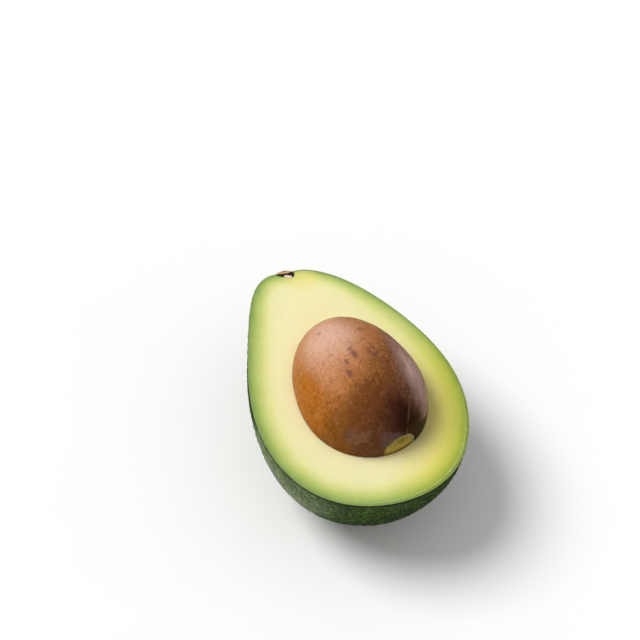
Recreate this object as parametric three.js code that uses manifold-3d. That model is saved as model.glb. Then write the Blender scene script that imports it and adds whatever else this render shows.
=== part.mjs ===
/**
 * Half of an avocado, as a lengthwise cut leaves it, with the seed still in its hollow.
 *
 * The half lies on its rounded back with the cut face up and level. Units are millimetres and +Z is up.
 * The origin is on the surface that it lies on, in the middle of the small flat spot that it rests on.
 * +Y runs along the fruit to the stem end, and -Y to the blunt end.
 *
 *   peel         the pebbled green skin, a thin shell that is open at the cut
 *   flesh        the pale body inside the peel, with the hollow that the seed grew in
 *   seed         the brown seed, half sunk in its hollow, with a flat scar at its blunt end
 *   stem_button  the cut remnant of the stalk, in a small socket at the stem end
 */
import * as THREE from "three";
import { mergeVertices } from "three/addons/utils/BufferGeometryUtils.js";
import Module from "manifold-3d";

const wasm = await Module();
wasm.setup();

// The fruit. A place along it is t, from -1 at the blunt end to +1 at the stem end.
const LENGTH = 99.8;
const MIDDLE_Y = 10;
const HALF_WIDTH = 34.6; // of the cut face, half way along
const PEAR_SHAPE = [1, -0.26, -0.065, 0.057, 0.174]; // polynomial in t: full belly, slimmer neck
const NECK_LEAN = [0, -0.5, -3.8, -2.7]; // polynomial in t: the centre line's X, as the neck leans left
const DEPTH_PER_WIDTH = 1.05; // depth of the half below the cut, over its half width
const CUT_HEIGHT = 36; // of the cut face above the surface that the half lies on

// The layers
const PEEL_THICKNESS = 1.0;
const GAP = 0.3; // between pieces that touch

// The peel's pebbles, low domes in staggered rows round the fruit
const PEBBLE_ROWS = 20;
const PEBBLE_SPACING = 6.6; // along a row
const PEBBLE_JITTER = 0.5; // of the spacing
const PEBBLE_RADIUS = 3.8;
const PEBBLE_HEIGHT = 0.85;
const PEBBLE_FADE = 5; // they die away over this much below the cut, which leaves its edge smooth
const PEBBLE_SEED = 41;

// The dimple round the stalk, and the stalk's remnant in it
const DIMPLE_DEPTH = 1.2;
const DIMPLE_RADIUS = 4.5;
const STEM_RADIUS = 3.4;
const STEM_TOP_RADIUS = 2.9;
const STEM_LENGTH = 3.6;
const STEM_STANDS_OUT = 0.9; // past the end of the fruit
const STEM_SIDES = 28;

// The seed, an egg with its blunt end towards the fruit's blunt end
const SEED_HALF_LENGTH = 26.8;
const SEED_HALF_WIDTH = 20.7;
const SEED_HALF_HEIGHT = 21.4;
const SEED_SHAPE = [1, -0.153, 0.055, 0.045]; // polynomial along the seed: slimmer towards the stem end
const SEED_X = 0.4;
const SEED_Y = 4.9;
const SEED_ABOVE_CUT = 1; // its axis above the cut face
const SEED_TURN = THREE.MathUtils.degToRad(7.2); // about Z, its slim end to the left
const SCAR_RADIUS = 5.6;
const SCAR_DEPTH = 0.9; // in the middle of the blunt end
const SCAR_TILT = THREE.MathUtils.degToRad(1); // the scar's face looks this much upwards
const SCAR_TURN = THREE.MathUtils.degToRad(5.6); // and this much to the right
const SCAR_SIDES = 32;

// How finely the surfaces are divided: along the piece, then round it
const PEEL_GRID = [72, 52];
const INNER_GRID = [32, 24];
const SEED_GRID = [26, 32];

const polynomial = (coefficients, t) => coefficients.reduceRight((sum, c) => sum * t + c, 0);

/** The fruit's half width in the cut face. */
const halfWidthAt = (t) => HALF_WIDTH * Math.sqrt(Math.max(0, 1 - t * t)) * polynomial(PEAR_SHAPE, t);

/**
 * A point of the fruit's smooth outside. The place along the fruit is an angle too, 0 at the blunt end and PI
 * at the stem end. turn runs from 0 at the cut's right edge, under the fruit, to PI at its left edge.
 */
function skinPoint(along, turn) {
  const t = -Math.cos(along);
  return new THREE.Vector3(
    polynomial(NECK_LEAN, t) + halfWidthAt(t) * Math.cos(turn),
    MIDDLE_Y + (t * LENGTH) / 2,
    CUT_HEIGHT - DEPTH_PER_WIDTH * halfWidthAt(t) * Math.sin(turn),
  );
}

const STEM_END = skinPoint(Math.PI, 0);

/** The outward normal of a surface that is given as point(along, round), with its poles at 0 and PI along. */
function normalAt(point, along, round) {
  const step = 1e-4;
  if (along < step) return new THREE.Vector3(0, -1, 0);
  if (along > Math.PI - step) return new THREE.Vector3(0, 1, 0);
  const d1 = point(along + step, round).sub(point(along - step, round));
  const d2 = point(along, round + step).sub(point(along, round - step));
  return d2.cross(d1).normalize();
}

/** A closed body through rings of points, each a closed loop. Triangles with no area are left out. */
function loft(rings) {
  const corners = [];
  const triangle = (...points) => {
    const [a, b, c] = points;
    if (a.distanceTo(b) > 1e-6 && b.distanceTo(c) > 1e-6 && c.distanceTo(a) > 1e-6) {
      points.forEach((p) => corners.push(p.x, p.y, p.z));
    }
  };
  for (let i = 0; i + 1 < rings.length; i++) {
    const [near, far] = [rings[i], rings[i + 1]];
    for (let j = 0; j < near.length; j++) {
      const next = (j + 1) % near.length;
      triangle(near[j], far[next], far[j]);
      triangle(near[j], near[next], far[next]);
    }
  }
  const positions = new THREE.Float32BufferAttribute(corners, 3);
  return new THREE.BufferGeometry().setAttribute("position", positions);
}

/** Half the fruit under the cut, inset from its skin, with relief on it and its lid lifted above the cut. */
function halfFruit(grid, inset, relief = () => 0, lift = 0) {
  const [steps, sides] = grid;
  const rings = [];
  for (let i = 0; i <= steps; i++) {
    const along = (Math.PI * i) / steps;
    const ring = [];
    for (let j = 0; j <= sides; j++) {
      const turn = (Math.PI * j) / sides;
      const point = skinPoint(along, turn);
      const dimple = DIMPLE_DEPTH * Math.exp(-((STEM_END.distanceTo(point) / DIMPLE_RADIUS) ** 2));
      const rise = relief(point) - dimple - inset;
      point.addScaledVector(normalAt(skinPoint, along, turn), rise);
      point.z = Math.max(point.z, inset);
      ring.push(point);
    }
    if (lift) {
      const [right, left] = [ring[0], ring[sides]];
      ring.push(left.clone().setZ(CUT_HEIGHT + lift), right.clone().setZ(CUT_HEIGHT + lift));
    }
    rings.push(ring);
  }
  return loft(rings);
}

/** The tops of the pebbles, in rows that are staggered and then jittered by a fixed random sequence. */
function pebbleTops() {
  let state = PEBBLE_SEED;
  const jitter = () => {
    state = (state * 16807) % 2147483647;
    return PEBBLE_JITTER * (state / 2147483647 - 0.5);
  };
  const tops = [];
  for (let row = 0; row < PEBBLE_ROWS; row++) {
    const middle = (Math.PI * (row + 0.5)) / PEBBLE_ROWS;
    const count = Math.max(2, Math.round((Math.PI * halfWidthAt(-Math.cos(middle))) / PEBBLE_SPACING));
    for (let i = 0; i <= count; i++) {
      const along = middle + (Math.PI * jitter()) / PEBBLE_ROWS;
      const turn = (Math.PI * (i + 0.5 * (row % 2) + jitter())) / count;
      tops.push(skinPoint(along, turn));
    }
  }
  return tops;
}

/** The height of the nearest pebble at a point of the skin. */
function pebbleRelief() {
  const tops = pebbleTops();
  return (point) => {
    const nearest = Math.min(...tops.map((top) => top.distanceTo(point)));
    const fade = Math.min(1, (CUT_HEIGHT - point.z) / PEBBLE_FADE);
    return PEBBLE_HEIGHT * fade * Math.max(0, 1 - (nearest / PEBBLE_RADIUS) ** 2);
  };
}

/** The seed's egg in its own frame, its axis along Y, grown by extra all over. */
function seedEgg(extra) {
  const [steps, sides] = SEED_GRID;
  const outside = (along, turn) => {
    const t = -Math.cos(along);
    const girth = Math.sin(along) * polynomial(SEED_SHAPE, t);
    return new THREE.Vector3(
      SEED_HALF_WIDTH * girth * Math.cos(turn),
      SEED_HALF_LENGTH * t,
      -SEED_HALF_HEIGHT * girth * Math.sin(turn),
    );
  };
  const rings = [];
  for (let i = 0; i <= steps; i++) {
    const along = (Math.PI * i) / steps;
    const ring = [];
    for (let j = 0; j < sides; j++) {
      const turn = (2 * Math.PI * j) / sides;
      ring.push(outside(along, turn).addScaledVector(normalAt(outside, along, turn), extra));
    }
    rings.push(ring);
  }
  return loft(rings);
}

/** Where the seed lies in the fruit. */
const seedPlace = new THREE.Matrix4()
  .makeTranslation(SEED_X, SEED_Y, CUT_HEIGHT + SEED_ABOVE_CUT)
  .multiply(new THREE.Matrix4().makeRotationZ(SEED_TURN));

/** The stalk's round remnant along Y, grown by extra all over, before the cut halves it. */
function stalk(extra) {
  const profile = [
    [0, -extra],
    [STEM_RADIUS + extra, -extra],
    [STEM_RADIUS + extra, STEM_LENGTH * 0.6],
    [STEM_TOP_RADIUS + extra, STEM_LENGTH + extra],
    [0, STEM_LENGTH + extra],
  ].map(([radius, height]) => new THREE.Vector2(radius, height));
  return new THREE.LatheGeometry(profile, STEM_SIDES).translate(
    STEM_END.x,
    STEM_END.y + STEM_STANDS_OUT - STEM_LENGTH,
    CUT_HEIGHT,
  );
}

/** A block whose underside is at height z, wide enough to clear the whole fruit. */
function blockAbove(z) {
  const side = 3 * LENGTH;
  return new THREE.BoxGeometry(side, side, side).translate(0, 0, z + side / 2);
}

/** A three.js geometry as a solid that can be joined and cut. */
function solid(geometry) {
  const bare = geometry.clone();
  ["normal", "uv"].forEach((name) => bare.deleteAttribute(name));
  const merged = mergeVertices(bare, 1e-4);
  return new wasm.Manifold(
    new wasm.Mesh({
      numProp: 3,
      vertProperties: merged.attributes.position.array,
      triVerts: new Uint32Array(merged.index.array),
    }),
  );
}

/** A solid as a named three.js mesh. */
function mesh(name, body, colour, roughness) {
  const { vertProperties, triVerts } = body.getMesh();
  const geometry = new THREE.BufferGeometry()
    .setAttribute("position", new THREE.BufferAttribute(vertProperties, 3))
    .setIndex(new THREE.BufferAttribute(triVerts, 1));
  geometry.computeVertexNormals();
  const material = new THREE.MeshStandardMaterial({ color: colour, roughness, metalness: 0 });
  const made = new THREE.Mesh(geometry, material);
  made.name = name;
  return made;
}

const socket = solid(stalk(GAP));

function makePeel() {
  const outside = solid(halfFruit(PEEL_GRID, 0, pebbleRelief()));
  const inside = solid(halfFruit(INNER_GRID, PEEL_THICKNESS, undefined, 2));
  return mesh("peel", outside.subtract(inside).subtract(socket), 0x2e4a1e, 0.45);
}

function makeFlesh() {
  const whole = solid(halfFruit(INNER_GRID, PEEL_THICKNESS + GAP));
  const hollow = solid(seedEgg(GAP).applyMatrix4(seedPlace));
  return mesh("flesh", whole.subtract(hollow).subtract(socket), 0xe3df98, 0.5);
}

function makeSeed() {
  const bit = 4 * SCAR_DEPTH;
  const scar = new THREE.CylinderGeometry(SCAR_RADIUS, SCAR_RADIUS, bit, SCAR_SIDES)
    .translate(0, SCAR_DEPTH - SEED_HALF_LENGTH - bit / 2, 0)
    .rotateX(-SCAR_TILT)
    .rotateZ(SCAR_TURN);
  const made = mesh("seed", solid(seedEgg(0)).subtract(solid(scar)), 0x8a5430, 0.35);
  made.applyMatrix4(seedPlace);
  return made;
}

function makeStemButton() {
  return mesh("stem_button", solid(stalk(0)).subtract(solid(blockAbove(CUT_HEIGHT))), 0x5a4028, 0.8);
}

const avocado = new THREE.Group();
avocado.add(makePeel(), makeFlesh(), makeSeed(), makeStemButton());

export default avocado;
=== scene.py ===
"""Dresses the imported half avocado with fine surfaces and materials, and lights it in a plain studio.

Lengths are in millimetres here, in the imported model's frame, and become metres when a mesh is made.
"""
import itertools
import math

import bpy
import numpy as np
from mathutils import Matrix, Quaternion, Vector, kdtree


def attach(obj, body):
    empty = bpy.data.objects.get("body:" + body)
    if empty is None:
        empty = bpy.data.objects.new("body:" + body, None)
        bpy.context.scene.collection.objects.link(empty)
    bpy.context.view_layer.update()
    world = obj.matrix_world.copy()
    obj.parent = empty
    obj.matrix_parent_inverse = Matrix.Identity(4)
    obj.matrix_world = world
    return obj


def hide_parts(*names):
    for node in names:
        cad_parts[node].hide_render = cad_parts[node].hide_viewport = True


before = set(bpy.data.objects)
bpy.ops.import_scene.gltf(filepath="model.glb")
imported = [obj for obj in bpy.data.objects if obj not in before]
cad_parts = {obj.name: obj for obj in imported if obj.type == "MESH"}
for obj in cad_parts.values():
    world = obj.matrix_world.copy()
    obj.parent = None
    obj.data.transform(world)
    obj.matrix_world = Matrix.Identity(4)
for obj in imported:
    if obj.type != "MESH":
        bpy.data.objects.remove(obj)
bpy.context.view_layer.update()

scene = bpy.context.scene
MM = 0.001

# The fruit, as in the solids. A place along it is t, from -1 at the blunt end to +1 at the stem end.
LENGTH = 99.8
MIDDLE_Y = 10.0
HALF_WIDTH = 34.6
PEAR_SHAPE = (1, -0.26, -0.065, 0.057, 0.174)
NECK_LEAN = (0, -0.5, -3.8, -2.7)
DEPTH_PER_WIDTH = 1.05
CUT_HEIGHT = 36.0
DIMPLE_DEPTH = 1.2
DIMPLE_RADIUS = 4.5

# The seed, as in the solids
SEED_HALF = np.array((20.7, 26.8, 21.4))
SEED_SHAPE = (1, -0.153, 0.055, 0.045)
SEED_CENTRE = np.array((0.4, 4.9, CUT_HEIGHT + 1.0))
SEED_TURN = math.radians(7.2)

# ---------------------------------------------------------------- camera

CAMERA_AIM = Vector((-6.4, 26.7, 49.05)) * MM
CAMERA_DISTANCE = 635.8 * MM
CAMERA_AZIMUTH = math.radians(-25.8)
CAMERA_ELEVATION = math.radians(51)
CAMERA_ROLL = math.radians(9.5)
CAMERA_LENS = 108.3


def direction(azimuth, elevation):
    """Unit vector from the object to a place at this azimuth: 0 is in front (-Y), and 90 on the right."""
    return Vector((
        math.sin(azimuth) * math.cos(elevation),
        -math.cos(azimuth) * math.cos(elevation),
        math.sin(elevation),
    ))


def make_camera():
    data = bpy.data.cameras.new("camera")
    data.lens = CAMERA_LENS
    data.sensor_width = 36
    data.clip_start = 0.01
    data.clip_end = 20
    camera = bpy.data.objects.new("camera", data)
    back = direction(CAMERA_AZIMUTH, CAMERA_ELEVATION)
    camera.location = CAMERA_AIM + back * CAMERA_DISTANCE
    camera.rotation_mode = "QUATERNION"
    camera.rotation_quaternion = (-back).to_track_quat("-Z", "Y") @ Quaternion((0, 0, 1), CAMERA_ROLL)
    scene.collection.objects.link(camera)
    scene.camera = camera


make_camera()

# ---------------------------------------------------------------- shapes

NOISE_VALUES = 4096


def polynomial(coefficients, t):
    total = 0
    for c in reversed(coefficients):
        total = total * t + c
    return total


def smoothstep(low, high, x):
    s = np.clip((x - low) / (high - low), 0, 1)
    return s * s * (3 - 2 * s)


def half_width(t):
    return HALF_WIDTH * np.sqrt(np.maximum(0, 1 - t * t)) * polynomial(PEAR_SHAPE, t)


def skin(along, turn):
    """Points of the fruit's smooth outside. along is 0 at the blunt end and PI at the stem end, and turn is
    0 at the cut's right edge and PI at its left."""
    t = -np.cos(along)
    return np.stack([
        polynomial(NECK_LEAN, t) + half_width(t) * np.cos(turn),
        MIDDLE_Y + t * LENGTH / 2,
        CUT_HEIGHT - DEPTH_PER_WIDTH * half_width(t) * np.sin(turn),
    ], axis=-1)


STEM_END = skin(np.array(math.pi), np.array(0.0))


def surface_normals(surface, along, turn):
    """Outward unit normals of surface(along, turn), whose poles are at along 0 and PI."""
    step = 1e-4
    safe = np.clip(along, 2 * step, math.pi - 2 * step)
    d_along = surface(safe + step, turn) - surface(safe - step, turn)
    d_turn = surface(safe, turn + step) - surface(safe, turn - step)
    n = np.cross(d_turn, d_along)
    n /= np.linalg.norm(n, axis=-1, keepdims=True)
    n[along < step] = (0, -1, 0)
    n[along > math.pi - step] = (0, 1, 0)
    return n


def fruit_surface(along, turn, inset=0.0, relief=0.0):
    """The skin moved inwards by inset, with the dimple round the stalk and a relief on it."""
    points = skin(along, turn)
    from_stem = np.linalg.norm(points - STEM_END, axis=-1)
    dimple = DIMPLE_DEPTH * np.exp(-(from_stem / DIMPLE_RADIUS) ** 2)
    rise = relief - dimple - inset
    points = points + surface_normals(skin, along, turn) * np.asarray(rise)[..., None]
    points[..., 2] = np.maximum(points[..., 2], inset)
    return points


def value_noise(points, size, seed):
    """Smooth noise from -1 to 1 with features of this size, on an (..., 3) array of points."""
    table = np.random.default_rng(seed).permutation(NOISE_VALUES)
    values = np.random.default_rng(seed + 1).uniform(-1, 1, NOISE_VALUES)
    p = points / size
    cell = np.floor(p).astype(int)
    f = p - cell
    f = f * f * (3 - 2 * f)
    total = 0
    for corner in itertools.product((0, 1), repeat=3):
        key = 0
        weight = 1
        for axis, ahead in enumerate(corner):
            key = table[(key + cell[..., axis] + ahead) % NOISE_VALUES]
            weight = weight * (f[..., axis] if ahead else 1 - f[..., axis])
        total = total + weight * values[key]
    return total


def fractal(points, size, seed, octaves=3):
    """Noise within -2 to 2: octaves of value noise, each half the size and strength of the last."""
    total = 0
    for k in range(octaves):
        total = total + value_noise(points, size / 2 ** k, seed + 7 * k) / 2 ** k
    return total


def distance_to_line(points, line):
    """Distance of each point to a line through the given places."""
    best = np.full(points.shape[:-1], np.inf)
    for a, b in zip(line, line[1:]):
        a, b = np.array(a), np.array(b)
        s = np.clip(((points - a) @ (b - a)) / ((b - a) @ (b - a)), 0, 1)
        best = np.minimum(best, np.linalg.norm(points - a - s[..., None] * (b - a), axis=-1))
    return best


def mesh_from_rings(name, rings, attributes, material, sharp=180):
    """A closed piece through rings of points, an (n, m, 3) array in mm. attributes are (n, m) arrays by
    name, and edges with a bend of more than sharp degrees stay sharp."""
    n, m = rings.shape[:2]
    index = np.arange(n * m).reshape(n, m)
    nxt = np.roll(index, -1, axis=1)
    quads = np.stack([index[:-1], nxt[:-1], nxt[1:], index[1:]], axis=-1).reshape(-1, 4)
    a, b, c, d = rings.reshape(-1, 3)[quads].transpose(1, 0, 2)
    volume = np.sum(np.cross(a, b) * c) + np.sum(np.cross(a, c) * d)
    if volume < 0:
        quads = quads[:, ::-1]  # the faces point outwards, whichever way the rings run
    # points that coincide, at the poles, become one vertex
    rounded = np.round(rings.reshape(-1, 3), 5)
    _, first, inverse = np.unique(rounded, axis=0, return_index=True, return_inverse=True)
    inverse = inverse.reshape(-1)
    vertices = rings.reshape(-1, 3)[first] * MM
    faces = []
    for quad in inverse[quads]:
        face = [v for k, v in enumerate(quad) if v != quad[k - 1]]
        if len(set(face)) == len(face) > 2:
            faces.append([int(v) for v in face])
    mesh = bpy.data.meshes.new(name)
    mesh.from_pydata(vertices.tolist(), [], faces)
    for key, values in attributes.items():
        attribute = mesh.attributes.new(key, "FLOAT", "POINT")
        attribute.data.foreach_set("value", values.reshape(-1)[first].astype(np.float32))
    mesh.polygons.foreach_set("use_smooth", [True] * len(mesh.polygons))
    if sharp < 180:
        mesh.set_sharp_from_angle(angle=math.radians(sharp))
    mesh.materials.append(material)
    piece = bpy.data.objects.new(name, mesh)
    scene.collection.objects.link(piece)
    return piece


# ---------------------------------------------------------------- materials


class Nodes:
    """A material's node tree, with short calls to add to it. Sizes are in mm."""

    def __init__(self, name):
        self.material = bpy.data.materials.new(name)
        self.material.use_nodes = True
        self.tree = self.material.node_tree
        self.shader = self.tree.nodes["Principled BSDF"]
        self.position = self.add("ShaderNodeTexCoord").outputs["Object"]

    def add(self, kind, inputs=None, **settings):
        node = self.tree.nodes.new(kind)
        for key, value in settings.items():
            setattr(node, key, value)
        for key, value in (inputs or {}).items():
            self.put(node.inputs[key], value)
        return node

    def put(self, socket, value):
        if isinstance(value, bpy.types.NodeSocket):
            self.tree.links.new(value, socket)
        else:
            socket.default_value = value

    def set(self, **values):
        for key, value in values.items():
            self.put(self.shader.inputs[key.replace("_", " ")], value)

    def attribute(self, name):
        return self.add("ShaderNodeAttribute", attribute_name=name).outputs["Fac"]

    def math(self, operation, *values, clamp=False):
        node = self.add("ShaderNodeMath", operation=operation, use_clamp=clamp)
        for socket, value in zip(node.inputs, values):
            self.put(socket, value)
        return node.outputs[0]

    def times(self, a, b):
        return self.math("MULTIPLY", a, b)

    def between(self, value, low, high, new_low=0.0, new_high=1.0):
        """value from low to high, as new_low to new_high, smoothly and no further."""
        return self.add("ShaderNodeMapRange", {
            "Value": value,
            "From Min": low,
            "From Max": high,
            "To Min": new_low,
            "To Max": new_high,
        }, interpolation_type="SMOOTHSTEP").outputs["Result"]

    def ramp(self, value, stops):
        """A colour from (position, colour) stops, the colours as #rrggbb."""
        node = self.add("ShaderNodeValToRGB", {"Fac": value})
        elements = node.color_ramp.elements
        while len(elements) < len(stops):
            elements.new(0.5)
        for element, (place, colour) in zip(elements, stops):
            element.position = place
            element.color = linear(colour)
        return node.outputs["Color"]

    def mix(self, factor, a, b, blend="MIX"):
        node = self.add("ShaderNodeMix", data_type="RGBA", blend_type=blend)
        colours = [s for s in node.inputs if s.type == "RGBA"]
        self.put(node.inputs[0], factor)
        for socket, value in zip(colours, (a, b)):
            self.put(socket, linear(value) if isinstance(value, str) else value)
        return [s for s in node.outputs if s.type == "RGBA"][0]

    def over(self, colour, new, where, strength):
        """The colour with a new one laid over it, as far as where times strength."""
        return self.mix(self.times(where, strength), colour, new)

    def noise(self, size, detail=3.0, roughness=0.55, distortion=0.0, stretch=None):
        """Noise from 0 to 1 with features of this size."""
        place = self.position
        if stretch is not None:
            place = self.add("ShaderNodeMapping", {"Vector": place, "Scale": stretch}).outputs["Vector"]
        return self.add("ShaderNodeTexNoise", {
            "Vector": place,
            "Scale": 1 / (size * MM),
            "Detail": detail,
            "Roughness": roughness,
            "Distortion": distortion,
        }).outputs["Fac"]

    def wrinkles(self, size, width):
        """Winding lines, 1 on a line, where a noise passes its middle."""
        off = self.math("SUBTRACT", self.noise(size, 2, 0.5, distortion=1.0), 0.5)
        return self.between(self.math("ABSOLUTE", off), 0.0, width, 1.0, 0.0)

    def net(self, size, width):
        """Thin lines, 1 on a line, round uneven cells of this size."""
        shift = self.add("ShaderNodeTexNoise", {
            "Vector": self.position,
            "Scale": 1 / (size * MM),
            "Detail": 2.0,
        }).outputs["Color"]
        moved = self.add("ShaderNodeVectorMath", {
            0: shift,
            1: (size * MM,) * 3,
            2: self.position,
        }, operation="MULTIPLY_ADD").outputs["Vector"]
        gap = self.add("ShaderNodeTexVoronoi", {
            "Vector": moved,
            "Scale": 1 / (size * MM),
        }, feature="DISTANCE_TO_EDGE").outputs["Distance"]
        return self.between(gap, 0.0, width, 1.0, 0.0)

    def dots(self, spacing, radius, low, high):
        """Uneven round dots up to this radius, from low to high, each with a strength of its own."""
        node = self.add("ShaderNodeTexVoronoi", {"Vector": self.position, "Scale": 1 / (spacing * MM)})
        inside = self.between(node.outputs["Distance"], 0.6 * radius / spacing, radius / spacing, 1.0, 0.0)
        own = self.add("ShaderNodeSeparateColor", {"Color": node.outputs["Color"]}).outputs["Red"]
        return self.times(inside, self.between(own, 0.2, 1.0, low, high))

    def bump(self, height, distance):
        """The shader's normal from a height of 0 to 1 that stands for this many mm."""
        return self.add("ShaderNodeBump", {"Height": height, "Distance": distance * MM}).outputs["Normal"]


def linear(hex_colour):
    """#rrggbb as the linear colour with alpha that a socket takes."""
    values = [int(hex_colour[k:k + 2], 16) / 255 for k in (1, 3, 5)]
    return tuple(v / 12.92 if v <= 0.04045 else ((v + 0.055) / 1.055) ** 2.4 for v in values) + (1.0,)


# ---------------------------------------------------------------- peel

PEEL_THICKNESS = 0.35
PEEL_STEPS = 340
PEEL_SIDES = 250
PEEL_INNER_SIDES = 16
SKIN_ARC = 132.0  # along the skin from end to end
PEBBLE_SPACING = 1.8
PEBBLE_JITTER = (0.42, 0.4)  # along and across the fruit, as parts of the spacing
PEBBLE_RADIUS = (0.65, 1.15)
PEBBLE_HEIGHT = (0.08, 0.24)
PEBBLE_UNEVENNESS = 0.35
PEBBLE_HEIGHT_AT_CUT = 0.25  # as a part of the full height
PEBBLE_FULL_DEPTH = 2.5  # how far below the cut they reach their full height
DOT_PER_PEBBLE = 0.55
GRAIN_HEIGHT = 0.04
SWELL_HEIGHT = 0.2
SWELL_FULL_DEPTH = 6.0


def pebble_tops(rng):
    """The middles of the pebbles on the skin, in jittered and staggered rows."""
    rows = round(SKIN_ARC / PEBBLE_SPACING)
    jitter_along, jitter_across = PEBBLE_JITTER
    places = []
    for row in range(rows):
        middle = math.pi * (row + 0.5) / rows
        girth = math.pi * float(half_width(-math.cos(middle)))
        count = max(3, round(girth / PEBBLE_SPACING))
        for i in range(count + 1):
            along = middle + math.pi / rows * rng.uniform(-jitter_along, jitter_along)
            turn = math.pi * (i + 0.5 * (row % 2) + rng.uniform(-jitter_across, jitter_across)) / count
            places.append((min(max(along, 0.01), math.pi - 0.01), turn))
    places = np.array(places)
    return skin(places[:, 0], places[:, 1])


def peel_relief(points):
    """(height in mm, pebble 0 to 1, pale dot 0 to 1) of the peel at points of the skin."""
    rng = np.random.default_rng(5)
    tops = pebble_tops(rng)
    radius = rng.uniform(*PEBBLE_RADIUS, len(tops))
    height = rng.uniform(*PEBBLE_HEIGHT, len(tops))
    pale = np.clip(rng.normal(0.35, 0.45, len(tops)), 0, 1)
    tree = kdtree.KDTree(len(tops))
    for i, top in enumerate(tops):
        tree.insert(top, i)
    tree.balance()
    flat = points.reshape(-1, 3)
    wobble = 1 + PEBBLE_UNEVENNESS * fractal(flat, 1.1, 11, 2)
    rise = np.zeros(len(flat))
    dot = np.zeros(len(flat))
    for k, point in enumerate(flat):
        for _, i, distance in tree.find_n(point, 3):
            d = distance * wobble[k]
            dome = 1 - (d / radius[i]) ** 2
            if dome > 0:
                rise[k] = max(rise[k], height[i] * dome)
                dot[k] = max(dot[k], pale[i] * (1 - (d / (DOT_PER_PEBBLE * radius[i])) ** 2))
    below = np.clip(CUT_HEIGHT - flat[:, 2], 0, None)
    fade = PEBBLE_HEIGHT_AT_CUT + (1 - PEBBLE_HEIGHT_AT_CUT) * smoothstep(0, PEBBLE_FULL_DEPTH, below)
    total = fade * (rise + GRAIN_HEIGHT * fractal(flat, 0.9, 21, 2))
    total += SWELL_HEIGHT * fractal(flat, 14, 31, 2) * smoothstep(0, SWELL_FULL_DEPTH, below)
    shape = points.shape[:-1]
    pebble = rise / PEBBLE_HEIGHT[1]
    return total.reshape(shape), pebble.reshape(shape), np.clip(dot, 0, 1).reshape(shape)


def peel_material():
    m = Nodes("peel")
    patches = m.between(m.noise(9, 4, distortion=0.5), 0.35, 0.65)
    # the valleys between the pebbles are painted darker than their tops, as shade
    valley = m.mix(patches, "#253d09", "#344f0e")
    top = m.mix(patches, "#335110", "#46671a")
    colour = m.mix(m.between(m.attribute("pebble"), 0.05, 0.9), valley, top)
    colour = m.over(colour, "#86a35a", m.attribute("dot"), 0.18)
    colour = m.mix(m.dots(0.8, 0.23, 0.05, 0.65), colour, "#afc289")
    # fine pale specks, painted glints
    glint_speckle = m.between(m.noise(0.45, 2), 0.58, 0.72)
    colour = m.over(colour, "#7b9747", glint_speckle, 0.28)
    # a painted shade band just under the cut, where the peel turns away from the light, and a pale line
    # along the cut itself
    below_cut = m.attribute("below_cut")
    painted_shade = m.times(m.between(below_cut, 0.1, 0.3), m.between(below_cut, 0.6, 1.5, 1.0, 0.0))
    colour = m.over(colour, "#1a2d0a", painted_shade, 0.75)
    edge = m.between(below_cut, 0.02, 0.3, 1.0, 0.0)
    colour = m.over(colour, "#92a85c", edge, 0.85)
    waxy = m.between(m.noise(1.1, 3), 0.35, 0.65, 0.24, 0.5)
    rough = m.math("MULTIPLY_ADD", painted_shade, 0.35, waxy)
    m.set(Base_Color=colour, Roughness=rough, Normal=m.bump(m.noise(0.8, 4, 0.6), 0.2))
    return m.material


def make_peel():
    along = np.linspace(0, math.pi, PEEL_STEPS + 1)[:, None]
    turn = np.linspace(0, math.pi, PEEL_SIDES + 1)[None, :]
    along_grid, turn_grid = np.broadcast_arrays(along, turn)
    height, pebble, dot = peel_relief(skin(along_grid, turn_grid))
    outer = fruit_surface(along_grid, turn_grid, 0.0, height)
    back = np.linspace(math.pi, 0, PEEL_INNER_SIDES + 1)[None, :]
    inner_along, inner_turn = np.broadcast_arrays(along, back)
    inner = fruit_surface(inner_along, inner_turn, PEEL_THICKNESS)
    rings = np.concatenate([outer, inner], axis=1)
    blank = np.zeros(inner.shape[:2])
    piece = mesh_from_rings("peel_skin", rings, {
        "pebble": np.concatenate([pebble, blank], axis=1),
        "dot": np.concatenate([dot, blank], axis=1),
        "below_cut": CUT_HEIGHT - rings[..., 2],
    }, peel_material(), sharp=50)
    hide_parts("peel")
    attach(piece, "root")


# ---------------------------------------------------------------- flesh

FLESH_SPOKES = 420
HOLLOW_RINGS = 34
LIP_RINGS = 5
FACE_RINGS = 64
RIM_RINGS = 4
BODY_RINGS = 36
BODY_CROWDING = 1.15  # the body's rings crowd towards the rim
FARTHEST_IN_SEED = 60
FARTHEST_IN_FRUIT = 90
HOLLOW_PER_SEED = 0.997  # the hollow is a hair smaller than the seed, so that no gap shows
LIP = 0.2  # height of the soft edge at the seed
LIP_SPREAD = 1.4  # its width, in heights
RIM = 0.12  # width and height of the soft edge at the peel
BODY_START = 1.6  # how far below the cut the body starts, in heights of the rim
FACE_WAVES = (0.10, 0.02)  # heights of the slight waves and of the grain of the cut face
STALK_MIDDLE = np.array((-2.0, 55.5, CUT_HEIGHT))
DENT_MIDDLE = (-7.2, 58)  # the dent in the cut face that the stalk's remnant sits in
DENT_HALF = (2.9, 1.4)
DENT_DEPTH = 0.35
GREEN_TO_CREAM = 24.0  # how far under the peel the flesh's colours run
THREAD_INSET = 0.8

# Ways from the seed's middle in the cut plane, from +X towards +Y
SHADE_GOLDEN_WAY = math.radians(-25)  # the side where the seed's shade falls, painted a deeper yellow
PALE_WAY = math.radians(91)  # the side where the green band is narrow
THREAD_WAY = math.radians(-65)  # the side where a pale thread runs along the peel
SHADE_YELLOWING_WAY = math.radians(22)  # the side where the seed's shade falls, painted a little yellower


def polar(points):
    """(angle, radius) of points in the cut plane round the seed's centre, sorted by angle."""
    away = points[:, :2] - SEED_CENTRE[:2]
    angle = np.arctan2(away[:, 1], away[:, 0])
    order = np.argsort(angle)
    return angle[order], np.linalg.norm(away, axis=1)[order]


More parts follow.
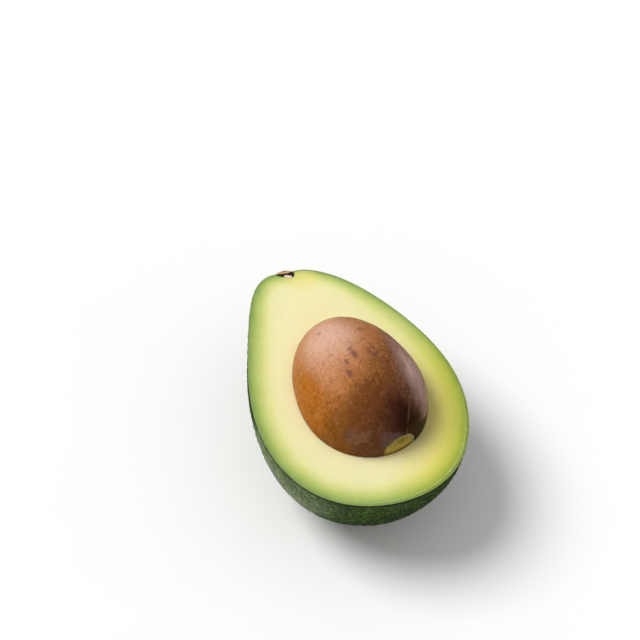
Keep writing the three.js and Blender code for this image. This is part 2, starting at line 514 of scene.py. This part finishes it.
def cut_outline(inset, steps=600):
    """The outline of the cut face, inset from the skin, as a closed loop of points."""
    along = np.linspace(0, math.pi, steps)
    right = fruit_surface(along, np.zeros(steps), inset)
    left = fruit_surface(along, np.full(steps, math.pi), inset)[::-1]
    return np.concatenate([right, left[1:-1]])


def inside_fruit(points):
    t = np.clip((points[..., 1] - MIDDLE_Y) * 2 / LENGTH, -1, 1)
    x = points[..., 0] - polynomial(NECK_LEAN, t)
    z = (points[..., 2] - CUT_HEIGHT) / DEPTH_PER_WIDTH
    return x * x + z * z < half_width(t) ** 2


def seed_local(points):
    """Points in the seed's own frame, its axis along Y."""
    c, s = math.cos(SEED_TURN), math.sin(SEED_TURN)
    p = points - SEED_CENTRE
    return np.stack([c * p[..., 0] + s * p[..., 1], -s * p[..., 0] + c * p[..., 1], p[..., 2]], axis=-1)


def seed_world(points):
    """Points of the seed's own frame in the model's frame."""
    c, s = math.cos(SEED_TURN), math.sin(SEED_TURN)
    return np.stack([
        c * points[..., 0] - s * points[..., 1],
        s * points[..., 0] + c * points[..., 1],
        points[..., 2],
    ], axis=-1) + SEED_CENTRE


def inside_seed(points):
    p = seed_local(points)
    t = np.clip(p[..., 1] / SEED_HALF[1], -1, 1)
    girth = np.sqrt(np.maximum(1e-12, 1 - t * t)) * polynomial(SEED_SHAPE, t)
    return (p[..., 0] / SEED_HALF[0]) ** 2 + (p[..., 2] / SEED_HALF[2]) ** 2 < girth ** 2


def reach(inside, origin, ways, longest):
    """How far each way from origin stays inside a body, by halving."""
    near = np.zeros(ways.shape[:-1])
    far = np.full(ways.shape[:-1], float(longest))
    for _ in range(30):
        middle = (near + far) / 2
        within = inside(origin + ways * middle[..., None])
        near = np.where(within, middle, near)
        far = np.where(within, far, middle)
    return near


def bend(start, corner, end, steps):
    """Rings of a soft edge between two rings, past the corner between them."""
    s = np.linspace(0, 1, steps + 2)[1:-1, None, None]
    return (1 - s) ** 2 * start + 2 * s * (1 - s) * corner + s ** 2 * end


def flesh_material():
    m = Nodes("flesh")
    from_rim = m.attribute("from_rim")
    wander = m.times(m.math("SUBTRACT", m.noise(7, 3), 0.5), 1.6)
    uneven = m.math("ADD", from_rim, wander)
    depth = m.math("MULTIPLY_ADD", uneven, m.attribute("narrowing"), m.attribute("paling"))
    colour = m.ramp(m.math("DIVIDE", depth, GREEN_TO_CREAM, clamp=True), [
        (0.0, "#84a055"),
        (0.04, "#98b05e"),
        (0.083, "#adc069"),
        (0.125, "#bfcc76"),
        (0.21, "#d8dc92"),
        (0.29, "#e8e6a8"),
        (0.38, "#eee9b6"),
        (0.6, "#f1eaba"),
        (1.0, "#f2e9b8"),
    ])
    round_stalk = m.between(m.attribute("from_stalk"), 2.0, 8.0, 1.0, 0.0)
    colour = m.over(colour, "#eddf88", round_stalk, 0.6)
    round_seed = m.between(m.attribute("from_seed"), 0.0, 5.0, 1.0, 0.0)
    colour = m.over(colour, "#f2dfaa", round_seed, 0.3)
    mottle = m.between(m.noise(2.2, 4, distortion=0.4), 0.35, 0.65)
    colour = m.over(colour, "#dcd489", mottle, 0.08)
    # painted shade: the flesh on the side that the seed shades is tinted yellower
    colour = m.mix(m.attribute("shade_golden"), colour, "#faf2b4", "MULTIPLY")
    # more painted shade, a little yellower and darker on the side the seed shades
    colour = m.mix(m.attribute("shade_yellowing"), colour, "#f7f9e6", "MULTIPLY")
    # the thread is torn, so its strength comes and goes
    wavy = m.math("MULTIPLY_ADD", wander, 0.2, from_rim)
    off = m.math("ABSOLUTE", m.math("SUBTRACT", wavy, THREAD_INSET))
    thread = m.times(m.between(off, 0.1, 0.45, 1.0, 0.0), m.attribute("thread_side"))
    torn = m.between(m.noise(1.0, 4, 0.7), 0.38, 0.62, 0.08, 0.42)
    colour = m.over(colour, "#dfe6b4", thread, torn)
    rough = m.between(m.noise(1.2, 3), 0.3, 0.7, 0.42, 0.58)
    m.set(Base_Color=colour, Roughness=rough, Normal=m.bump(m.noise(0.45, 4), 0.03))
    m.shader.subsurface_method = "RANDOM_WALK"
    m.shader.inputs["Subsurface Weight"].default_value = 0.6
    m.shader.inputs["Subsurface Radius"].default_value = (1.0, 0.75, 0.3)
    m.shader.inputs["Subsurface Scale"].default_value = 2.5 * MM
    m.shader.inputs["Specular IOR Level"].default_value = 0.15
    return m.material


def flesh_rings(phi, outline):
    """The rings of the flesh, from the bottom of the hollow over the cut to the underside. With them come
    the lip's radius on each spoke, and the numbers of the first rings of the lip and of the rim."""
    outward = np.stack([np.cos(phi), np.sin(phi), np.zeros_like(phi)], axis=-1)
    down = np.array((0.0, 0.0, -1.0))
    origin = np.array((SEED_CENTRE[0], SEED_CENTRE[1], CUT_HEIGHT))

    def ways(dips):
        """Unit vectors along the spokes, dipped below the cut by these angles."""
        return outward * np.cos(dips)[..., None] + down * np.sin(dips)[..., None]

    def at(radius, height=0.0):
        """Points on the spokes, so far out and so far above the cut."""
        return origin + outward * radius[..., None] - down * height

    level = ways(np.zeros_like(phi))
    rim_radius = np.interp(phi, *polar(outline), period=2 * math.pi)
    lip_radius = reach(inside_seed, origin, level, FARTHEST_IN_SEED)
    smooth_radius = reach(inside_fruit, origin, level, FARTHEST_IN_FRUIT)

    # the hollow, from its bottom up to the soft lip
    lip_dip = np.arctan2(LIP, lip_radius)
    u = np.linspace(1, 0, HOLLOW_RINGS)[:, None]
    dips = lip_dip + u * (math.pi / 2 - lip_dip)
    hollow_reach = reach(inside_seed, origin, ways(dips), FARTHEST_IN_SEED)
    hollow = origin + ways(dips) * (hollow_reach * HOLLOW_PER_SEED)[..., None]
    face_start = lip_radius + LIP * LIP_SPREAD
    lip = bend(hollow[-1:], at(lip_radius), at(face_start), LIP_RINGS)

    # the cut face, slightly uneven away from its edges
    s = np.linspace(0, 1, FACE_RINGS)[:, None]
    face = at(face_start * (1 - s) + (rim_radius - RIM) * s)
    from_edges = np.sin(math.pi * s) ** 0.5
    waves = FACE_WAVES[0] * fractal(face, 9, 51, 2) + FACE_WAVES[1] * fractal(face, 1.6, 53, 2)
    dent = np.sum(((face[..., :2] - DENT_MIDDLE) / DENT_HALF) ** 2, axis=-1)
    face[..., 2] += from_edges * waves
    face[..., 2] -= DENT_DEPTH * np.exp(-dent ** 2)

    # the soft rim, and the body down to its underside
    rim_end = at(rim_radius[None], -RIM)
    rim = bend(face[-1:], at(rim_radius), rim_end, RIM_RINGS)
    start_dip = np.arctan2(RIM * BODY_START, rim_radius)
    u = np.linspace(0, 1, BODY_RINGS)[:, None] ** BODY_CROWDING
    dips = start_dip + u * (math.pi / 2 - start_dip)
    body_reach = reach(inside_fruit, origin, ways(dips), FARTHEST_IN_FRUIT) * (rim_radius / smooth_radius)
    body = origin + ways(dips) * body_reach[..., None]
    body[..., 2] = np.maximum(body[..., 2], PEEL_THICKNESS)

    hollow[0] = hollow[0].mean(axis=0)
    body[-1] = body[-1].mean(axis=0)
    rings = np.concatenate([hollow, lip, face, rim, rim_end, body])
    first_lip = len(hollow)
    first_rim = first_lip + len(lip) + len(face)
    return rings, lip_radius, first_lip, first_rim


def make_flesh():
    phi = np.linspace(-math.pi, math.pi, FLESH_SPOKES, endpoint=False)
    outline = cut_outline(PEEL_THICKNESS)
    rings, lip_radius, first_lip, first_rim = flesh_rings(phi, outline)
    from_rim = np.array([
        np.linalg.norm(ring[:, None, :2] - outline[None, :, :2], axis=-1).min(axis=1) for ring in rings
    ])
    from_rim[first_rim:] = 0.0
    from_rim[:first_lip] = from_rim[first_lip]
    from_middle = np.linalg.norm(rings[..., :2] - SEED_CENTRE[:2], axis=-1)
    across = rings[..., 0] * math.cos(SHADE_GOLDEN_WAY) + rings[..., 1] * math.sin(SHADE_GOLDEN_WAY)

    def near(way, spread):
        """1 on the spokes that point this way, and about a third at spread degrees from it."""
        turn = np.arctan2(np.sin(phi - way), np.cos(phi - way))
        return np.broadcast_to(np.exp(-(turn / math.radians(spread)) ** 2), from_rim.shape)

    piece = mesh_from_rings("flesh_body", rings, {
        "from_rim": from_rim,
        "from_seed": np.clip(from_middle - lip_radius, 0, None),
        "from_stalk": np.linalg.norm(rings - STALK_MIDDLE, axis=-1),
        "shade_golden": smoothstep(8, 30, across),
        "narrowing": 1 + 0.6 * near(PALE_WAY, 18),
        "paling": 0.9 * near(PALE_WAY / 2, 35),
        "thread_side": near(THREAD_WAY, 45),
        "shade_yellowing": near(SHADE_YELLOWING_WAY, 50) * smoothstep(0.5, 5, from_rim),
    }, flesh_material(), sharp=60)
    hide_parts("flesh")
    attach(piece, "root")


# ---------------------------------------------------------------- seed

SEED_STEPS = 260
SEED_SIDES = 300
SEED_SWELL = 0.22
SEED_GRAIN = 0.035
SCAR_WAY = np.array((0.1, -0.995, 0.0))
SCAR_RADIUS = 5.6
SCAR_DEPTH = 0.45
SCAR_GRAIN = 0.05
SCAR_RIM_HEIGHT = 0.12
SCAR_RIM_WIDTH = 0.35
RAPHE = (  # the fine ridge that runs up from the scar, in the seed's own frame
    (4.8, -25.6, 5.4),
    (6.0, -22.5, 11.8),
    (7.9, -18.6, 15.2),
    (11.5, -12.9, 16.4),
    (17.0, -4.7, 12.6),
)
RAPHE_HEIGHT = 0.08
RAPHE_WIDTH = 0.22
FLECKS = (  # on the seed, in its own frame: place, length, width, strength
    ((-3.8, 2.5, 20.6), 1.3, 0.9, 0.8),
    ((-3.7, -0.1, 21.0), 2.2, 1.1, 1.0),
    ((-7.0, -1.5, 20.3), 1.4, 0.8, 0.8),
    ((-8.0, -5.9, 19.9), 1.7, 1.0, 1.0),
    ((1.3, -0.8, 21.4), 1.7, 0.8, 0.8),
    ((2.6, -2.6, 21.4), 1.2, 1.3, 0.7),
    ((3.0, 0.3, 21.1), 1.3, 0.7, 0.7),
    ((3.9, 10.1, 18.4), 0.7, 2.2, 0.6),
    ((8.5, -2.8, 19.8), 1.0, 0.9, 0.6),
    ((11.7, -0.6, 17.7), 1.7, 0.9, 0.6),
    ((-7.5, 16.3, 13.9), 1.3, 1.0, 0.6),
    ((-13.9, -19.8, 7.4), 1.3, 2.3, 0.6),
)

# Soft patches near the scar, as parts of the seed's half sizes: middle, half sizes
HAZE = ((-0.04, -0.95, 0.3), (0.2, 0.07, 0.2))
SMUDGES = (
    ((-0.64, -0.78, 0.33), (0.18, 0.055, 0.16)),
    ((-0.47, -0.87, 0.33), (0.18, 0.055, 0.16)),
)


def egg(along, turn):
    """Points of the smooth seed in its own frame."""
    t = -np.cos(along)
    girth = np.sin(along) * polynomial(SEED_SHAPE, t)
    return np.stack([
        SEED_HALF[0] * girth * np.cos(turn),
        SEED_HALF[1] * t,
        -SEED_HALF[2] * girth * np.sin(turn),
    ], axis=-1)


def seed_material():
    m = Nodes("seed")
    streaks = m.noise(2.2, 4, 0.6, stretch=(1.0, 0.22, 1.0))
    streaky = m.between(streaks, 0.35, 0.65)
    patches = m.math("SUBTRACT", m.noise(6, 4, distortion=0.6), 0.5)
    streak_drift = m.times(m.math("SUBTRACT", streaks, 0.5), 0.22)
    drift = m.math("ADD", m.times(patches, 0.32), streak_drift)
    # tone is partly painted shade, lighter on the upper left and darker to the lower right
    tone = m.math("ADD", m.attribute("tone"), drift, clamp=True)
    colour = m.ramp(tone, [
        (0.0, "#b47b50"),
        (0.22, "#aa6c3b"),
        (0.36, "#8f5828"),
        (0.5, "#71401a"),
        (0.68, "#663919"),
        (0.85, "#623821"),
        (1.0, "#4c2a18"),
    ])
    # the pale film on the upper left, partly a painted highlight
    colour = m.over(colour, "#cda38d", m.attribute("film_and_highlight"), m.between(streaks, 0.3, 0.7, 0.8, 1.0))
    orange = m.ramp(tone, [(0.0, "#aa6003"), (0.17, "#945407"), (0.33, "#7a4709")])
    colour = m.over(colour, orange, m.attribute("flank"), m.between(patches, -0.15, 0.05, 0.8, 1.0))
    # a paler strip down the right, a painted reflection
    colour = m.over(colour, "#bb968b", m.attribute("reflection_strip"), m.between(streaks, 0.35, 0.65, 0.6, 0.95))
    # the dark blunt end, partly the seed's own colour and partly painted shade
    colour = m.mix(m.attribute("dark"), colour, m.mix(streaky, "#280803", "#3e120a"))
    colour = m.over(colour, "#7c6866", m.attribute("haze"), 0.35)
    colour = m.over(colour, "#8e6852", m.attribute("smudge"), m.between(streaks, 0.35, 0.65, 0.3, 0.6))
    # a fine mottling of light threads and dark wrinkles, which is also the seed's relief
    lively = m.times(m.attribute("lively"), m.between(m.noise(4, 2), 0.35, 0.65, 0.3, 1.0))
    grain = m.noise(0.8, 3, 0.6)
    threads = m.times(m.net(1.7, 0.16), m.between(m.noise(2.5, 2), 0.4, 0.6, 0.2, 1.0))
    light = m.math("MAXIMUM", m.times(threads, 0.36), m.between(grain, 0.5, 0.68, 0.0, 0.42))
    wrinkles = m.times(m.wrinkles(2.6, 0.05), 0.5)
    dark = m.math("MAXIMUM", wrinkles, m.between(grain, 0.3, 0.48, 0.6, 0.0))
    colour = m.over(colour, "#d6945a", light, lively)
    colour = m.over(colour, "#57280f", dark, lively)
    colour = m.over(colour, "#623a38", m.attribute("fleck"), 0.7)
    colour = m.over(colour, "#a5805c", m.attribute("raphe"), 0.5)
    scar = m.mix(m.between(m.noise(1.0, 3), 0.35, 0.65), "#7d6826", "#a8934a")
    # the scar is paler on its left, and painted light along its low edge, where the flesh shades it
    scar = m.over(scar, "#cbad55", m.attribute("scar_pale_and_painted_light"), 0.75)
    colour = m.mix(m.attribute("scar"), colour, scar)
    colour = m.over(colour, "#b8ad7e", m.attribute("scar_rim"), 0.8)
    rough = m.between(m.noise(1.5, 3), 0.3, 0.7, 0.36, 0.5)
    height = m.math("MULTIPLY_ADD", m.math("SUBTRACT", light, dark), 0.5, 0.5)
    m.set(Base_Color=colour, Roughness=rough, Normal=m.bump(height, 0.08))
    m.shader.inputs["Specular IOR Level"].default_value = 0.1
    return m.material


def flecks_at(points):
    """0 to 1, how far each point of the smooth seed lies in a dark fleck with a ragged edge."""
    fleck = np.zeros(points.shape[:-1])
    bent = points + 0.3 * np.stack([fractal(points, 0.9, k, 2) for k in (71, 73, 75)], axis=-1)
    for place, length, width, strength in FLECKS:
        gap = (bent - np.array(place)) / np.array((width, length, width))
        fleck = np.maximum(fleck, strength * smoothstep(1.35, 0.5, np.linalg.norm(gap, axis=-1)))
    return fleck


def blob(place, middle, size):
    """1 within a rounded patch of the seed, fading to 0 outside it. All are parts of its half sizes."""
    gap = sum(((p - c) / r) ** 2 for p, c, r in zip(place, middle, size))
    return smoothstep(1.7, 0.3, gap)


def seed_colour_masks(smooth):
    """Where the seed's colours lie, at points of the smooth seed. Places are parts of its half sizes: x to
    the right, y towards the stem end and z up, the first two a little uneven."""
    x, y, z = np.moveaxis(smooth / SEED_HALF, -1, 0)
    drawn_out = smooth * (1, 0.4, 1)
    x = x + 0.05 * fractal(drawn_out, 5, 101, 3)
    y = y + 0.06 * fractal(drawn_out, 5, 111, 3)
    # a pale film on the upper left that is partly a painted highlight, and a paler strip down the right
    # that is a painted reflection
    film_and_highlight = np.exp(-((x + 0.3) / 0.55) ** 2 - ((y - 0.5) / 0.42) ** 2)
    film_and_highlight *= smoothstep(0.25, 0.6, z) * smoothstep(0.35, -0.1, x)
    reflection_strip = smoothstep(0.36, 0.66, x) * smoothstep(0.7, -0.3, y)
    reflection_strip = reflection_strip * smoothstep(-0.86, -0.68, y) * smoothstep(0.1, 0.3, z)
    # the dark blunt end, partly the seed's own dark colour and partly painted shade, whose edge runs lower
    # towards the right and turns up again low on the side
    dark_edge = -0.62 - 0.7 * np.clip(x - 0.2, 0, None)
    dark_edge = dark_edge + 0.35 * smoothstep(0.4, 0.1, z) * smoothstep(0.1, 0.4, x)
    dark = smoothstep(0.06, -0.14, y - dark_edge) * smoothstep(-0.4, 0.3, x)
    # the tone runs from light on the upper left to dark on the lower right: partly the seed's own colour,
    # partly painted shade of light from the upper left
    tone = (0.55 * x - 0.85 * y + 0.3) / 1.3 + 0.08 * smoothstep(-0.3, -0.6, y)
    tone += 0.07 * smoothstep(-0.1, 0.35, x) * smoothstep(-0.7, -0.3, y)
    # the orange left side
    flank = smoothstep(-0.62, -0.92, x - 0.12 * smoothstep(-0.1, -0.7, y))
    flank = flank * smoothstep(-1.0, -0.7, y) * smoothstep(0.95, 0.4, y)
    calm = np.clip(0.6 * film_and_highlight + 0.9 * dark + 0.6 * reflection_strip, 0, 0.9)
    return {
        "tone": np.clip(tone, 0, 1),
        "flank": flank,
        "film_and_highlight": film_and_highlight,
        "reflection_strip": reflection_strip,
        "dark": dark,
        "haze": blob((x, y, z), *HAZE),
        "smudge": np.maximum(*[blob((x, y, z), *smudge) for smudge in SMUDGES]),
        "lively": (1 - calm) * (1 - 0.6 * smoothstep(-0.25, -0.75, y)),
    }


def make_seed():
    along = np.linspace(0, math.pi, SEED_STEPS + 1)[:, None]
    turn = np.linspace(0, 2 * math.pi, SEED_SIDES, endpoint=False)[None, :]
    along, turn = np.broadcast_arrays(along, turn)
    smooth = egg(along, turn)
    way = SCAR_WAY / np.linalg.norm(SCAR_WAY)
    ahead = smooth @ way
    across = np.linalg.norm(smooth - ahead[..., None] * way, axis=-1)
    across = np.where(ahead > 0, across, np.inf) * (1 + 0.05 * fractal(smooth, 3, 61, 2))
    scar = smoothstep(SCAR_RADIUS, SCAR_RADIUS - 0.5, across)
    scar_rim = np.exp(-((across - SCAR_RADIUS) / SCAR_RIM_WIDTH) ** 2)
    scar_left = smoothstep(3.0, -3.5, smooth[..., 0])
    raphe = np.exp(-(distance_to_line(smooth, RAPHE) / RAPHE_WIDTH) ** 2)
    relief = SEED_SWELL * fractal(smooth, 13, 81, 2) + SEED_GRAIN * fractal(smooth, 1.3, 83, 2)
    relief = relief * (1 - scar) - SCAR_DEPTH * scar + SCAR_RIM_HEIGHT * scar_rim + RAPHE_HEIGHT * raphe
    relief += SCAR_GRAIN * scar * fractal(smooth, 0.8, 85, 2)
    rings = seed_world(smooth + surface_normals(egg, along, turn) * relief[..., None])
    rings[0] = rings[0].mean(axis=0)
    rings[-1] = rings[-1].mean(axis=0)
    piece = mesh_from_rings("seed_coat", rings, {
        "scar": scar,
        "scar_rim": scar_rim * (1 - 0.6 * scar_left),
        # paler on the scar's left, and painted light along its low edge where the flesh shades it
        "scar_pale_and_painted_light": np.maximum(0.6 * scar_left, smoothstep(3.2, 0.4, smooth[..., 2])),
        "raphe": raphe,
        "fleck": flecks_at(smooth),
        **seed_colour_masks(smooth),
    }, seed_material())
    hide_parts("seed")
    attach(piece, "root")


# ---------------------------------------------------------------- stem button

STEM_STEPS = 90
STEM_TOP_STEPS = 60
STEM_LOW_STEPS = 40
STEM_LEFT = -10.4
STEM_RIGHT = -4.0
STEM_DEEP = 2.6
STEM_OUTLINE = (  # x, then y at the inner and the outer edge of the cut stalk
    (STEM_LEFT, 58.7, 58.9),
    (-9.6, 58.1, 59.25),
    (-8.7, 57.7, 59.6),
    (-7.6, 57.1, 59.75),
    (-6.7, 56.4, 59.7),
    (-5.8, 56.0, 59.5),
    (-4.9, 56.3, 59.1),
    (-4.3, 57.0, 58.6),
    (STEM_RIGHT, 57.6, 58.1),
)
STEM_BARK = ((-9.7, 58.75), (-8.4, 58.8), (-7.2, 58.65), (-6.2, 58.6), (-5.5, 58.75))
STEM_BARK_WIDTH = 0.42
STEM_PITH = ((-7.4, 57.15), (-6.5, 56.75), (-5.8, 56.4))
STEM_PITH_WIDTH = 0.5
STEM_PITH_WIDTH_BELOW = 0.6
STEM_RISES = (0.12, 0.45, 0.25)  # of the rag, of the bark on it and of the pith on it
STEM_GRAINS = (0.05, 0.08)  # heights of the grain on the cut top and below it


def stem_material():
    m = Nodes("stem")
    fibres = m.noise(0.6, 4, stretch=(0.5, 2.0, 2.0))
    bark = m.mix(m.between(fibres, 0.3, 0.7), "#b3824c", "#ecc893")
    # the rag's dark is partly the stalk's own colour and partly painted shade along its edge
    dark_and_shade = m.mix(m.between(fibres, 0.35, 0.65), "#150a05", "#3d2413")
    colour = m.mix(m.attribute("bark"), dark_and_shade, bark)
    colour = m.mix(m.attribute("pith"), colour, "#f3dccd")
    rough = m.between(fibres, 0.3, 0.7, 0.6, 0.85)
    m.set(Base_Color=colour, Roughness=rough, Normal=m.bump(fibres, 0.15))
    return m.material


def along_line(points, line, width):
    """1 on a ragged band along the line, seen from above, and 0 outside it."""
    gap = distance_to_line(points * (1, 1, 0), [(a, b, 0) for a, b in line])
    return smoothstep(width + 0.08, width - 0.08, gap + 0.1 * fractal(points, 0.8, 91, 3))


def make_stem():
    """The stalk's remnant, from left to right: torn pale bark on a dark rag, and a spot of pith."""
    x = np.linspace(STEM_LEFT, STEM_RIGHT, STEM_STEPS)
    outline_x, outline_inner, outline_outer = np.transpose(STEM_OUTLINE)
    inner = np.interp(x, outline_x, outline_inner)
    outer = np.interp(x, outline_x, outline_outer)
    v = np.linspace(0, 1, STEM_TOP_STEPS)
    top = np.stack(np.broadcast_arrays(
        x[:, None],
        inner[:, None] * (1 - v) + outer[:, None] * v,
        CUT_HEIGHT,
    ), axis=-1)
    ragged = fractal(top, 0.8, 91, 3)
    along = (top[..., 0] - STEM_LEFT) / (STEM_RIGHT - STEM_LEFT)
    pith = along_line(top, STEM_PITH, STEM_PITH_WIDTH)
    bark = along_line(top, STEM_BARK, STEM_BARK_WIDTH) * (1 - pith)
    from_edges = smoothstep(0, 0.12, v) * smoothstep(1, 0.88, v)
    from_edges = from_edges * smoothstep(0, 0.1, along) * smoothstep(1, 0.92, along)
    rag_rise, bark_rise, pith_rise = STEM_RISES
    rise = rag_rise + bark_rise * bark + pith_rise * pith
    top[..., 2] += from_edges * rise + STEM_GRAINS[0] * ragged
    w = np.linspace(0, math.pi, STEM_LOW_STEPS + 2)[1:-1]
    width = (outer - inner)[:, None]
    deep = STEM_DEEP * np.sqrt(np.clip(1 - (2 * along[:, :1] - 1) ** 2, 0.02, 1))
    low = np.stack(np.broadcast_arrays(
        x[:, None],
        (outer + inner)[:, None] / 2 + width / 2 * np.cos(w),
        CUT_HEIGHT - deep * np.sin(w) ** 0.6,
    ), axis=-1)
    low = low + STEM_GRAINS[1] * fractal(low, 0.8, 93, 2)[..., None]
    rings = np.concatenate([top, low], axis=1)
    rings[0] = rings[0].mean(axis=0)
    rings[-1] = rings[-1].mean(axis=0)
    # the side just under the top stays dark, as painted shade; deeper down it takes the bark's colour
    hidden = smoothstep(0, -0.8, low[..., 2] - CUT_HEIGHT)
    piece = mesh_from_rings("stem_remnant", rings, {
        "pith": np.concatenate([pith, along_line(low, STEM_PITH, STEM_PITH_WIDTH_BELOW)], axis=1),
        "bark": np.concatenate([bark, hidden], axis=1),
    }, stem_material(), sharp=70)
    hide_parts("stem_button")
    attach(piece, "root")


make_peel()
make_flesh()
make_seed()
make_stem()

# ---------------------------------------------------------------- studio

FLOOR_SIZE = 6.0  # metres
SUN_WAY = direction(math.radians(-120), math.radians(50))
SUN_STRENGTH = 2.45
SUN_SPREAD = math.radians(32)
WORLD_STRENGTH = 0.47
WORLD_MIRRORED = (0.05, 0.15)  # the strength in a gloss, from below and from high up


def make_floor():
    m = Nodes("floor")
    tone = m.mix(m.noise(60, 2), "#f8f8f6", "#fafaf9")
    m.set(Base_Color=tone, Roughness=m.between(m.noise(5, 2), 0.3, 0.7, 0.6, 0.7))
    m.shader.inputs["Specular IOR Level"].default_value = 0.0
    mesh = bpy.data.meshes.new("floor")
    r = FLOOR_SIZE / 2
    mesh.from_pydata([(-r, -r, 0), (r, -r, 0), (r, r, 0), (-r, r, 0)], [], [(0, 1, 2, 3)])
    mesh.materials.append(m.material)
    floor = bpy.data.objects.new("floor", mesh)
    floor.visible_glossy = False
    scene.collection.objects.link(floor)


def make_world():
    """Even light from all round. A gloss mirrors it weaker, and the weakest from below."""
    world = bpy.data.worlds.new("studio")
    world.use_nodes = True
    tree = world.node_tree
    background = tree.nodes["Background"]
    background.inputs["Color"].default_value = (1, 1, 1, 1)
    way = tree.nodes.new("ShaderNodeTexCoord")
    split = tree.nodes.new("ShaderNodeSeparateXYZ")
    tree.links.new(way.outputs["Generated"], split.inputs[0])
    gloss = tree.nodes.new("ShaderNodeMapRange")
    gloss.inputs["From Min"].default_value = -0.1
    gloss.inputs["From Max"].default_value = 0.6
    gloss.inputs["To Min"].default_value = WORLD_MIRRORED[0]
    gloss.inputs["To Max"].default_value = WORLD_MIRRORED[1]
    tree.links.new(split.outputs["Z"], gloss.inputs["Value"])
    path = tree.nodes.new("ShaderNodeLightPath")
    level = tree.nodes.new("ShaderNodeMapRange")
    level.inputs["To Min"].default_value = WORLD_STRENGTH
    tree.links.new(path.outputs["Is Glossy Ray"], level.inputs["Value"])
    tree.links.new(gloss.outputs["Result"], level.inputs["To Max"])
    tree.links.new(level.outputs["Result"], background.inputs["Strength"])
    scene.world = world


def add_light(name, data, place, way):
    """A light at a place, shining along a way."""
    light = bpy.data.objects.new(name, data)
    light.location = place
    light.rotation_mode = "QUATERNION"
    light.rotation_quaternion = way.to_track_quat("-Z", "Y")
    scene.collection.objects.link(light)
    return light


def make_sun():
    """A soft light from far away, the same all over the floor, that shows in no gloss."""
    data = bpy.data.lights.new("key", "SUN")
    data.energy = SUN_STRENGTH
    data.angle = SUN_SPREAD
    add_light("key", data, SUN_WAY, -SUN_WAY).visible_glossy = False


def make_card(name, place, way, size, power, colour):
    """A soft box at a place in metres, shining along a way, that shows in gloss alone."""
    data = bpy.data.lights.new(name, "AREA")
    data.shape = "RECTANGLE"
    data.size, data.size_y = size
    data.energy = power
    data.color = linear(colour)[:3]
    light = add_light(name, data, place, way)
    light.visible_diffuse = False
    light.visible_camera = False


def make_shine(name, azimuth, elevation, distance, size, power, colour):
    """A soft box that faces the seed from this azimuth and elevation in degrees and distance in metres."""
    way = direction(math.radians(azimuth), math.radians(elevation))
    make_card(name, Vector(SEED_CENTRE) * MM + way * distance, -way, size, power, colour)


make_floor()
make_world()
make_sun()
make_shine("shine_back", -156, 18, 0.6, size=(0.4, 0.25), power=3.0, colour="#ffeeea")
make_shine("shine_right", 110, 4, 0.5, size=(0.08, 0.3), power=1.9, colour="#ffe9e4")

# no gloss mirrors the floor, so two cards that lie on it beside the fruit give the peel a sheen
UP = Vector((0, 0, 1))
make_card("low_card", Vector((-50, -14, 1)) * MM, UP, size=(0.05, 0.07), power=0.0105, colour="#f4ffd6")
make_card("back_card", Vector((5, 100, 1)) * MM, UP, size=(0.1, 0.07), power=0.016, colour="#f4ffd6")

scene.view_settings.view_transform = "Standard"
scene.view_settings.look = "None"
scene.view_settings.exposure = 0
scene.view_settings.gamma = 1
